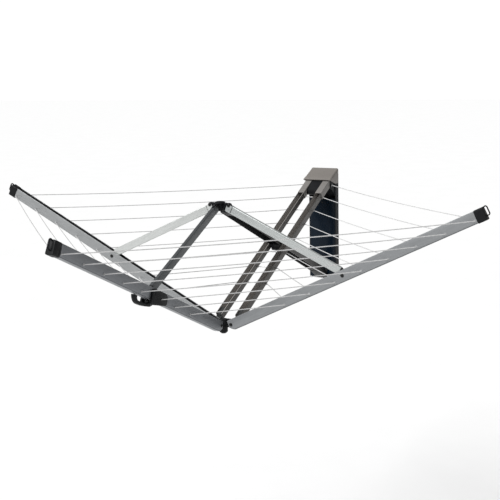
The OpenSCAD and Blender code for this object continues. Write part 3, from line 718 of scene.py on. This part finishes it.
shape = Shape()
add_lathe(shape, [(8.6, -36), (10, -35.2), (14.6, -30.6), (15, -29.6), (15, -8), (14.4, -7.4),
                  (14.4, -5.6), (15, -5), (15, 12.4), (13.6, 14), (6, 14)], steps=40)
for side in PINS:
    add_tongue(shape, side, [(10, -16)] + arc(RADIUS, 0, 9, -90, 90, 12) + [(10, 10)], 7)
add_tongue(shape, "wall", [(16.5, -DROP - 11)] + arc(RADIUS, -DROP, 11, -90, 90, 12)
           + [(16.5, -DROP + 11)], 25.5)
add_tongue(shape, "wall", [(6, -14), (17, -14), (17, 8), (6, 8)], 12)
stands_for(shape.piece("hub_moulding", Matrix.Translation(HUB), BLACK), "hub_body")

shape = Shape()
add_lathe(shape, [(10.4, -20), (12, -18.4), (12, 6), (17.2, 6), (18, 6.8), (18, 8.4),
                  (17, 9.6), (12.8, 11.7), (11.6, 12)], steps=40)
for side in PINS:
    add_tongue(shape, side, [(6, -12)] + arc(RADIUS, 0, 8, -90, 90, 12) + [(6, 7)], 4)
add_tongue(shape, "wall", [(6, -18)] + arc(RADIUS, -DROP, 8, -90, 90, 12) + [(6, 6)], 4.7)
stands_for(shape.piece("crown_moulding", Matrix.Translation(CROWN), BLACK), "crown_body")

hub_rivets, crown_rivets = Shape(), Shape()
for side in PINS:
    for rivets, end, head_t in ((hub_rivets, 13.3, 2), (crown_rivets, 6.8, 1.6)):
        one = Shape()
        add_pin(one, RADIUS, 0, 4, end, 6, head_t)
        rivets.take(one, turned(side))
one = Shape()
add_pin(one, RADIUS, -DROP, 4, 13.3, 6, 1.6)
crown_rivets.take(one, turned("wall"))
stands_for(hub_rivets.piece("hub_rivets", Matrix.Translation(HUB), DARK_STEEL), "hub_pins")
stands_for(crown_rivets.piece("crown_rivets", Matrix.Translation(CROWN), DARK_STEEL),
           "crown_pins")

# Rear arm

CHANNEL_OUT = 38
REAR_OUTLINE = ([(12, 13.5), (10, 13.5)] + arc(8, -9.5, 2, 0, -90, 4)
                + arc(-8, -9.5, 2, 270, 180, 4) + [(-10, 13.5), (-12, 13.5)]
                + arc(-8, -9.5, 4, 180, 270, 6) + arc(8, -9.5, 4, 270, 360, 6))


def in_rear_channel(point):
    """Whether a point of a rear channel's surface is on its inside."""
    return abs(point.y) < 11 and point.z > -12.5


for sign, side in ((-1, "right"), (1, "left")):
    shift = Matrix.Translation((0, sign * CHANNEL_OUT * MM, 0))
    shape = Shape()
    add_prism(shape, REAR_OUTLINE, 12, 905, 0.4, ALONG)
    # The channel's inside faces take the lightened copy, painted light where the channel is in
    # shade.
    piece = shape.piece(side + "_rear_extrusion", rear_tilted() @ shift, REAR_SHADED_FINISH,
                        inside=(REAR_INSIDE_PAINTED_LIGHT, in_rear_channel))
    stands_for(piece, side + "_rear_channel")
    outer = clean(round_rect(-13.6, -15.1, 13.6, 14.5, 1.6))
    inner = clean(round_rect(-12.3, -13.7, 12.3, 13.6, 1.6))
    shape = Shape()
    rings = [[(x, y, s) for x, y in line] for line, s in (
        (inner, 899), (inner, 792.6), (inset(inner, -0.5), 792), (inset(outer, 0.4), 792),
        (outer, 792.7), (outer, 906.2), (inset(outer, 0.8), 907))]
    shape.stack(rings, ALONG)
    add_prism(shape, arc(920, 0, 9, -90, 90, 14) + [(890, 7), (890, -14)], -13.2, 13.2, 0.9)
    stands_for(shape.piece(side + "_socket_casting", rear_tilted() @ shift, SOCKET),
               side + "_socket")

shape = Shape()
add_prism(shape, arc(920, 0, 9, -100, 100, 14) + [(822, 0)] + arc(826, -14, 10, 150, 250, 8)
          + [(906, -25)], -24, 24, 1.4)
stands_for(shape.piece("socket_spacer", rear_frame(), BLACK), "socket_block")

shape = Shape()
add_lathe(shape, [(4.4, -52.5), (5, -51.9), (5, 51.9), (4.4, 52.5)],
          bar_across(LENGTH, 0, 0, 1), 32)
stands_for(shape.piece("scissor_shaft", rear_frame(), STEEL), "scissor_axle")

shape = Shape()
for sign in (-1, 1):
    add_lathe(shape, [(5.3, 50.1), (8.1, 50.1), (8.5, 50.5), (8.5, 53), (7.4, 54), (3, 54)],
              bar_across(LENGTH, 0, 0, sign), 32)
    add_lathe(shape, [(5.3, 24.4), (8.7, 24.4), (9, 24.6), (9, 25.7), (8.7, 25.9), (5.3, 25.9)],
              bar_across(LENGTH, 0, 0, sign), 32, closed=True)
stands_for(shape.piece("scissor_cap_pair", rear_frame(), BLACK), "scissor_caps")

shape = Shape()
add_pin(shape, 0, 0, 4, 50.3, 6, 2)
stands_for(shape.piece("rear_hub_rivet", rear_frame(), STEEL), "rear_hub_pin")

# Scissor beam

BEAM_SIDE = [(21.6, -12.7), (21.9, -13), (23.7, -13), (24, -12.7)] + arc(21, 10, 3, 0, 90, 6)


def in_beam(point):
    """Whether a point of the beam's surface is on its inside."""
    return abs(point.y) < 22.6 and point.z < 11.8


shape = Shape()
beam_outer = BEAM_SIDE[2:] + [(-x, y) for x, y in reversed(BEAM_SIDE[2:])]
beam_inner = ([(-21.9, -13), (-21.6, -12.7)] + arc(-20.6, 9.6, 1, 180, 90, 3)
              + arc(20.6, 9.6, 1, 90, 0, 3) + [(21.6, -12.7), (21.9, -13)])
add_prism(shape, beam_outer + beam_inner, 18, 850, 0.3, ALONG)
# Faces inside the beam take the painted shade.
stands_for(shape.piece("beam_extrusion", beam_tilted(), BEAM_FINISH,
                       inside=(CHANNEL_PAINTED_SHADE, in_beam)), "scissor_beam")

shape = Shape()
add_prism(shape, round_rect(-21.4, -12, 21.4, 10.4, 2), 18.2, 60, 0.6, ALONG)
for w in (-9, 9):
    add_prism(shape, arc(-0.3, 0, 9, 90, 250, 12) + [(40, -11), (40, 9)], w - 4, w + 4, 0.8)
stands_for(shape.piece("beam_head_moulding", beam_tilted(), BLACK), "beam_head")

shape = Shape()
centre = LENGTH
add_prism(shape, [(centre - 26, 10.4), (centre - 26, -12.6)]
          + arc(centre - 2, -19, 10, 200, 340, 12) + [(centre + 26, -12.6), (centre + 26, 10.4)],
          -21.4, 21.4, 1)
stands_for(shape.piece("scissor_bearing", beam_tilted(), BLACK), "scissor_bush")

shape = Shape()
add_prism(shape, round_rect(-21.4, -12, 21.4, 10.4, 2), 800, 850.5, 0.5, ALONG)
add_prism(shape, [(850.2, -13), (872, -16)] + arc(917, -10, 13, -70, 70, 14) + [(850.2, 13)],
          -24, 24, 1.6)
for w in (-14, 0, 14):
    add_prism(shape, [(858, 10), (900, 2), (900, 4.8), (858, 12.6)], w - 1.2, w + 1.2, 0.5)
stands_for(shape.piece("foot_moulding", beam_tilted(), BLACK), "beam_foot")

# Latch on the front arm

HANDLE_S, HANDLE_V, HANDLE_HALF = 452, -29, 7

SIDE_PLATE = (arc(397, -12, 12, 180, 250, 8) + arc(466, -27, 10, -110, 0, 8)
              + arc(464, 2, 12, 0, 90, 8) + arc(405, -6, 20, 90, 155, 8))

shape = Shape()
for sign in (-1, 1):
    middle = sign * 17
    add_prism(shape, SIDE_PLATE, middle - 3.5, middle + 3.5, 1.6)
    add_prism(shape, round_rect(399, -9, 462, 9, 4), sign * 20.6 - 0.4, sign * 20.6 + 0.4, 0.3)
add_prism(shape, [(403, -22.4), (424, -22.4), (424, -25.4), (403, -25.4)], -13.9, 13.9, 0.5)
stands_for(shape.piece("latch_shell", arm_frame("front"), BLACK), "latch_housing")

LOOP = 520
shape = Shape()
add_prism(shape, arc(HANDLE_S, HANDLE_V, 6.2, 90, 180, 8) + [(445.8, -34.8)]
          + arc(LOOP, 250, 298.5, 257.4, 270, 12) + arc(LOOP, -17.5, 31, -90, -14, 14)
          + [(LOOP + 14, -25)] + arc(LOOP + 2, -26, 12, 0, -90, 8) + [(LOOP - 22, -37.6)]
          + arc(LOOP - 47, -31, 3, -100, -180, 5)
          + [(LOOP - 50, -25.6), (LOOP - 52, -24.8), (457, -24.6)], -HANDLE_HALF, HANDLE_HALF, 1.6)
stands_for(shape.piece("pull_handle", arm_frame("front"), BLACK), "release_handle")

shape = Shape()
add_pin(shape, HANDLE_S, HANDLE_V, 3, 17.5)
stands_for(shape.piece("handle_rivet", arm_frame("front"), STEEL), "handle_pin")

# The bolt slides towards the hub and shortens the return spring between them

SPRING_FROM, SPRING_TO, SPRING_V, SPRING_R, WIRE_R = 374.0, 397.6, -16.55, 2.2, 0.5
SPRING_TURNS, SPRING_STEPS = 5, 24


def spring_path():
    count = SPRING_TURNS * SPRING_STEPS
    reach = SPRING_TO - SPRING_FROM - 2 * WIRE_R
    for i in range(count + 1):
        a = 2 * math.pi * i / SPRING_STEPS
        yield (SPRING_FROM + WIRE_R + reach * i / count, SPRING_R * math.cos(a),
               SPRING_V + SPRING_R * math.sin(a))


shape = Shape()
add_tube(shape, list(spring_path()), WIRE_R * 0.98, 8)
spring = stands_for(shape.piece("return_spring", arm_frame("front"), STEEL), "latch_spring")
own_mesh(spring)

# Wall bracket


def cover_line(half, low, high, corner):
    """The cover's outline: square above, with round lower corners."""
    return ([(half, high), (-half, high)] + arc(corner - half, low + corner, corner, 180, 270, 8)
            + arc(half - corner, low + corner, corner, 270, 360, 8))


cover_low, cover_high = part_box("wall_cover")
low_z, high_z = cover_low.z / MM, cover_high.z / MM
shape = Shape()
shape.stack(soft_rings(rounded(cover_line(55.9, low_z, high_z, 12), 1, 2), 4.6, 31.9, 1.4), ACROSS)
shape.stack(soft_rings(cover_line(46, low_z + 9, high_z - 4, 5), 20, 32.5, 1.2), ACROSS)
stands_for(shape.piece("cover_moulding", Matrix.Identity(4), COVER), "wall_cover")

HOOD_BACK, HOOD_FRONT, HOOD_Y, HOOD_LOW, HOOD_HALF = 235.0, 198.0, -87.0, 174.0, 60.0


def hood_ring(y, shrink=0.0):
    """Section across the hood at y: an inverted channel with round upper corners."""
    top = HOOD_BACK + y * (HOOD_BACK - HOOD_FRONT) / -HOOD_Y - shrink
    below = HOOD_FRONT - 4.4 - HOOD_LOW
    low = HOOD_LOW + max(0, (-32.5 - y) / (-32.5 - HOOD_Y)) * below + shrink
    half = HOOD_HALF - shrink
    corner = min(7, (top - low) * 0.6)
    outer = ([(half, low)] + arc(half - corner, top - corner, corner, 0, 90, 7)
             + arc(corner - half, top - corner, corner, 90, 180, 7) + [(-half, low)])
    wall = 2.4 - 2 * shrink
    inner_half, inner_top, round_in = half - wall, top - wall, max(corner - 2.4, 1)
    inner = ([(-inner_half, low)]
             + arc(round_in - inner_half, inner_top - round_in, round_in, 180, 90, 7)
             + arc(inner_half - round_in, inner_top - round_in, round_in, 90, 0, 7)
             + [(inner_half, low)])
    return [(x, y, z) for x, z in outer + inner]


shape = Shape()
shape.stack([hood_ring(0, 0.5), hood_ring(-0.5), hood_ring(-32.4), hood_ring(-32.6),
             hood_ring(-60), hood_ring(-86.4), hood_ring(-87, 0.6)])
add_prism(shape, rounded([(-59, 193.9), (59, 193.9), (59, 197.6), (-59, 197.6)], 1.5),
          84.8, 86.9, 0.5)
add_prism(shape, [(-57.8, 212), (57.8, 212), (57.8, 232), (-57.8, 232)], 0.2, 2.2, 0.3)
stands_for(shape.piece("hood_casting", Matrix.Identity(4), HOOD), "top_hood")

# ---------------------------------------------------------------- washing line

LOOPS = 8
LINE_RADIUS = 1.5
OUTER_HOLE = 929.5
HOLE_STEP = 100.9
HOLE_DEPTH = 11.25
ARM_HALF = 13.0
FLANGE = 0.8
REAR_INNER_HOLE = 224
REAR_HOLE_STEP = 95.5
REAR_HOLE_DEPTH = 9.5
REAR_OUT = 50.0
CHEEK_OUT = 56.0
LONGEST_SAG = 9 * MM


def arm_end(side, loop, towards):
    """(body, inside point, exit point, exit direction) of the line in an arm."""
    place = arm_frame(side)
    s = (OUTER_HOLE - loop * HOLE_STEP) * MM
    across = place.to_3x3() @ Vector((0, 1, 0))
    if across.dot(towards) < 0:
        across.negate()
    centre = place @ Vector((s, 0, -HOLE_DEPTH * MM))
    return side + "_arm_body", centre, centre + across * (ARM_HALF + FLANGE) * MM, across


def wall_end(sign, loop):
    """The same where the line leaves the rear channels or, outermost, the bracket."""
    across = Vector((sign, 0, 0))
    if loop == 0:
        low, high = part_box("line_anchors")
        centre = Vector((0, (low.y + high.y) / 2, (low.z + high.z) / 2))
        inside = centre + across * (CHEEK_OUT - 9) * MM
        return "wall_bracket", inside, centre + across * (CHEEK_OUT + 1.2) * MM, across
    s = REAR_INNER_HOLE + (LOOPS - 1 - loop) * REAR_HOLE_STEP
    centre = rear_tilted() @ Vector((s * MM, 0, -REAR_HOLE_DEPTH * MM))
    return "wall_arm", centre, centre + across * (REAR_OUT + FLANGE) * MM, across


def half_path(inside, exit_point, across, other_exit, other_across):
    """From inside the arm, out of its eyelet and on to mid-span, with its sag."""
    bend = exit_point + across * 1.5 * MM
    other = other_exit + other_across * 1.5 * MM
    chord = other - bend
    sag = LONGEST_SAG * (chord.length / 1.24) ** 2
    path = [inside, exit_point - across * 0.5 * MM]
    ahead = bend + chord.normalized() * 5 * MM
    start = path[-1]
    for i in range(1, 5):
        t = i / 5
        path.append(start * (1 - t) ** 2 + bend * 2 * t * (1 - t) + ahead * t * t)
    steps = max(4, round(chord.length / 2 / 0.03))
    first = 5 * MM / chord.length
    for i in range(steps + 1):
        t = first + (0.5 - first) * i / steps
        point = bend + chord * t
        point.z -= 4 * sag * (t - first) * (1 - t) / (1 - first)
        path.append(point)
    return bend, path


def slack(bend, other_bend, middle, body, other_body):
    """How each half crumples so that the span hangs in a loop when folded."""
    places = [(bend, folded(body)), (other_bend, folded(other_body))]
    ends = [matrix @ point for point, matrix in places]
    half_gap = (ends[0] - ends[1]).length / 2
    length = (middle - bend).length
    drop = 0.96 * math.sqrt(max(length ** 2 - half_gap ** 2, 0))
    while drop > 0.001:
        target = (ends[0] + ends[1]) / 2 - Vector((0, 0, drop))
        found = []
        for point, matrix in places:
            rest = middle - point
            moved = matrix.inverted() @ target - point
            shift = rest - moved
            found.append((shift, (rest.dot(moved) - moved.dot(moved))
                          / (rest.dot(rest) - rest.dot(moved))))
        if all(0.04 < keep <= 1 for _, keep in found):
            return found
        drop *= 0.96
    return None


def make_line(name, points, body):
    shape = Shape()
    add_tube(shape, [p / MM for p in points], LINE_RADIUS, 8)
    piece = shape.piece(name, Matrix.Identity(4), LINE, 60)
    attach(piece, body)
    return piece


def make_span(name, loop, end, other_end, nodes):
    """One span of a loop, as two halves that each follow their own arm."""
    halves = []
    for mine, theirs in ((end, other_end), (other_end, end)):
        body, inside, exit_point, across = mine
        bend, path = half_path(inside, exit_point, across, theirs[2], theirs[3])
        halves.append((body, bend, path))
    middle = (halves[0][2][-1] + halves[1][2][-1]) / 2
    fit = slack(halves[0][1], halves[1][1], middle, halves[0][0], halves[1][0])
    for i, (body, bend, path) in enumerate(halves):
        path[-1] = middle
        piece = make_line(f"{name}_{loop}_{'ab'[i]}", path, body)
        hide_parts(*nodes)
        if fit:
            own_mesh(piece)


def make_lines():
    for loop in range(LOOPS):
        for sign, side in ((-1, "left"), (1, "right")):
            out = Vector((sign, 0, 0))
            to_front, to_wall = Vector((0, -1, 0)), Vector((0, 1, 0))
            front_nodes = {"left": "left_front_line", "right": "front_right_line"}
            make_span(f"{side}_front_line", loop, arm_end(side, loop, to_front),
                      arm_end("front", loop, out),
                      (front_nodes[side], side + "_arm_line", "front_arm_line"))
            make_span(f"{side}_wall_line", loop, arm_end(side, loop, to_wall),
                      wall_end(sign, loop), (side + "_wall_line", "rear_arm_line"))


make_lines()

# ---------------------------------------------------------------- camera, light and floor

CAMERA_PLACE = Vector((1.6074, -3.7728, 0.6887))
CAMERA_AZIMUTH = math.radians(27.567)
CAMERA_ELEVATION = math.radians(11.016)
CAMERA_ROLL = math.radians(-1.354)
CAMERA_LENS = 70.69
FLOOR_Z = -1.30
FILL_STRENGTH = 0.28
KEY_FROM, KEY_STRENGTH, KEY_ANGLE = (-0.38, -0.60, 0.72), 3.8, 40
FLOOR_REACH = 40


def make_camera():
    flat = math.cos(CAMERA_ELEVATION)
    ahead = Vector((-math.sin(CAMERA_AZIMUTH) * flat, math.cos(CAMERA_AZIMUTH) * flat,
                    -math.sin(CAMERA_ELEVATION)))
    level = Vector((math.cos(CAMERA_AZIMUTH), math.sin(CAMERA_AZIMUTH), 0))
    upright = level.cross(ahead)
    right = math.cos(CAMERA_ROLL) * level + math.sin(CAMERA_ROLL) * upright
    up = math.cos(CAMERA_ROLL) * upright - math.sin(CAMERA_ROLL) * level
    data = bpy.data.cameras.new("camera")
    data.lens = CAMERA_LENS
    data.sensor_width = 36
    camera = bpy.data.objects.new("camera", data)
    camera.matrix_world = Matrix((
        (right.x, up.x, -ahead.x, CAMERA_PLACE.x), (right.y, up.y, -ahead.y, CAMERA_PLACE.y),
        (right.z, up.z, -ahead.z, CAMERA_PLACE.z), (0, 0, 0, 1)))
    bpy.context.scene.collection.objects.link(camera)
    bpy.context.scene.camera = camera


def make_soft_sun(from_direction, strength, angle):
    data = bpy.data.lights.new("soft_key", "SUN")
    data.energy = strength
    data.angle = math.radians(angle)
    light = bpy.data.objects.new("soft_key", data)
    light.rotation_mode = "QUATERNION"
    light.rotation_quaternion = Vector(from_direction).to_track_quat("Z", "Y")
    bpy.context.scene.collection.objects.link(light)


def make_world():
    """White behind the airer; a dimmer grey for the light that falls on it."""
    world = bpy.data.worlds.new("studio")
    world.use_nodes = True
    nodes, links = world.node_tree.nodes, world.node_tree.links
    fill = nodes["Background"]
    fill.inputs["Color"].default_value = (1, 1, 1, 1)
    fill.inputs["Strength"].default_value = FILL_STRENGTH
    white = nodes.new("ShaderNodeBackground")
    white.inputs["Color"].default_value = (1, 1, 1, 1)
    white.inputs["Strength"].default_value = 1.05
    mix = nodes.new("ShaderNodeMixShader")
    links.new(nodes.new("ShaderNodeLightPath").outputs["Is Camera Ray"], mix.inputs["Fac"])
    links.new(fill.outputs["Background"], mix.inputs[1])
    links.new(white.outputs["Background"], mix.inputs[2])
    links.new(mix.outputs["Shader"], nodes["World Output"].inputs["Surface"])
    bpy.context.scene.world = world
    bpy.context.scene.view_settings.view_transform = "Standard"


def make_studio():
    make_world()
    make_soft_sun(KEY_FROM, KEY_STRENGTH, KEY_ANGLE)
    mesh = bpy.data.meshes.new("floor")
    mesh.from_pydata([(x * FLOOR_REACH, y * FLOOR_REACH, FLOOR_Z)
                      for x, y in ((-1, -1), (1, -1), (1, 1), (-1, 1))], [], [(0, 1, 2, 3)])
    floor = bpy.data.objects.new("floor", mesh)
    bpy.context.scene.collection.objects.link(floor)
    paper = Finish("pale_floor", (0.9, 0.9, 0.9), 0.9)
    paper.tint(paper.noise(3, 2), 0.99, 1.01)
    mesh.materials.append(paper.material)


make_camera()
make_studio()
